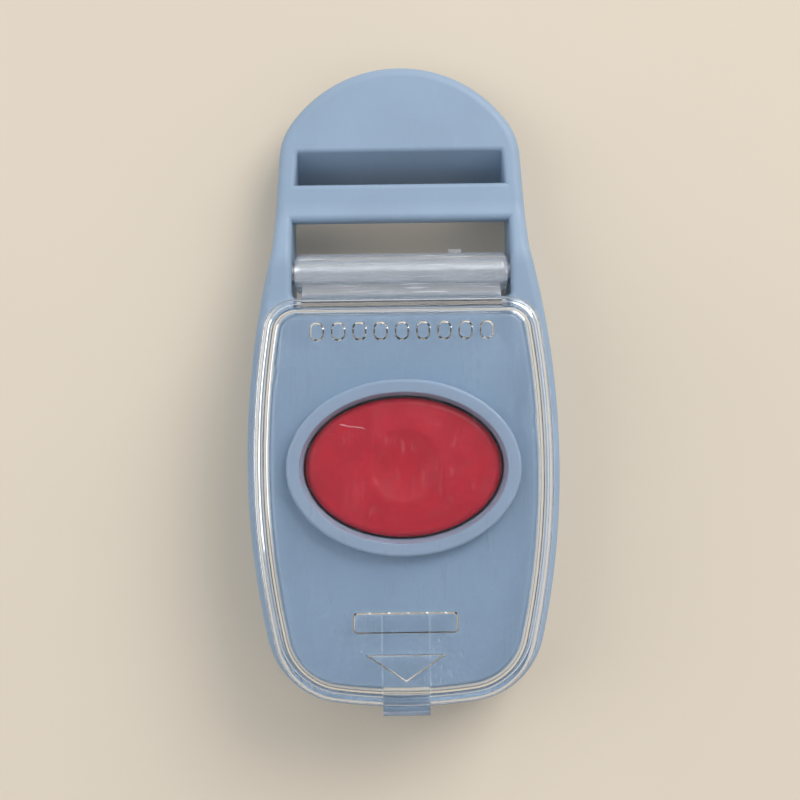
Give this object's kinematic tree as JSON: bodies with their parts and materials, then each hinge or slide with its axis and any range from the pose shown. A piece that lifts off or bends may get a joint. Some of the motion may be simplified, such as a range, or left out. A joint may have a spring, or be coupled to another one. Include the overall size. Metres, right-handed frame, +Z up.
{
  "type": "webbing buckle",
  "caption": "Push-button webbing buckle half: moulded housing with strap adjuster bar, clear hinged guard cover over an oval release button, spring latch and tongue ejector.",
  "frame": {"origin": "where the push button's axis meets the flat face that the buckle lies on", "axes": "+X across the buckle, +Y along the strap from the tongue mouth towards the strap end, +Z up out of the button"},
  "size_m": [0.0378, 0.0785, 0.0159],
  "materials": {
    "housing_plastic": "fine satin",
    "clear_plastic": "clear gloss",
    "button_plastic": "satin, lightly scuffed",
    "latch_plastic": "natural white",
    "steel": "ground",
    "spring_steel": "drawn wire",
    "zinc_screws": "zinc plated"
  },
  "bodies": {
    "housing": {"housing": "housing_plastic", "back_cover": "housing_plastic", "hinge_pin": "steel", "back_screws": "zinc_screws", "latch_spring_left": "spring_steel", "latch_spring_right": "spring_steel", "ejector_spring": "spring_steel"},
    "cover": {"guard_cover": "clear_plastic"},
    "button": {"release_button": "button_plastic", "latch_yoke": "latch_plastic"},
    "ejector": {"tongue_ejector": "latch_plastic"}
  },
  "joints": [
    {"name": "cover_hinge", "type": "hinge", "parent": "housing", "child": "cover", "pos_m": [0, 0.0235, 0.0079], "axis": [-1, 0, 0], "range_deg": [0, 110]},
    {"name": "button_press", "type": "slide", "parent": "housing", "child": "button", "axis": [0, 0, -1], "range_m": [0, 0.002], "stiffness_N_per_m": 1200, "springref_m": -0.001, "deforming": ["latch_spring_left", "latch_spring_right"]},
    {"name": "ejector_slide", "type": "slide", "parent": "housing", "child": "ejector", "axis": [0, 1, 0], "range_m": [0, 0.006], "stiffness_N_per_m": 300, "springref_m": -0.003, "deforming": ["ejector_spring"]}
  ]
}
